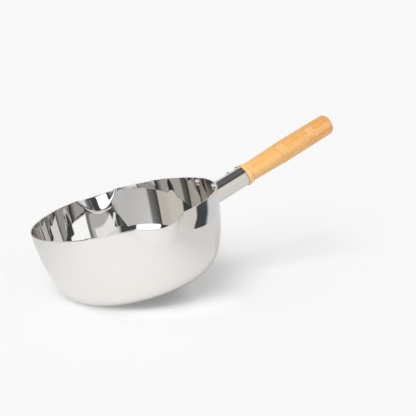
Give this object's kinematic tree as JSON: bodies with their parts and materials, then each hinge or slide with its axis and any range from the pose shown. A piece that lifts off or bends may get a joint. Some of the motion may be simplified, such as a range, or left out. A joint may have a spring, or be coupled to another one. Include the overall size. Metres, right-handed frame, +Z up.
{
  "type": "saucepan",
  "caption": "Thin polished-steel saucepan with a pouring spout on each side and a turned wooden handle pinned into a riveted steel socket.",
  "frame": {"origin": "middle of the flat base, on the surface the pan stands on", "axes": "+Z up, +X along the handle in plan, the two spouts at +Y and -Y"},
  "size_m": [0.3722, 0.2186, 0.1095],
  "materials": {
    "polished_steel": "mirror-polished stainless steel",
    "fitting_steel": "satin stainless steel",
    "grip_wood": "turned pale wood with a thin clear oil finish"
  },
  "bodies": {
    "root": {"bowl": "polished_steel", "saddle_plate": "fitting_steel", "rivet_far": "fitting_steel", "rivet_near": "fitting_steel", "socket_tube": "polished_steel", "pin_rear": "fitting_steel", "pin_front": "fitting_steel", "wooden_grip": "grip_wood"}
  },
  "joints": []
}
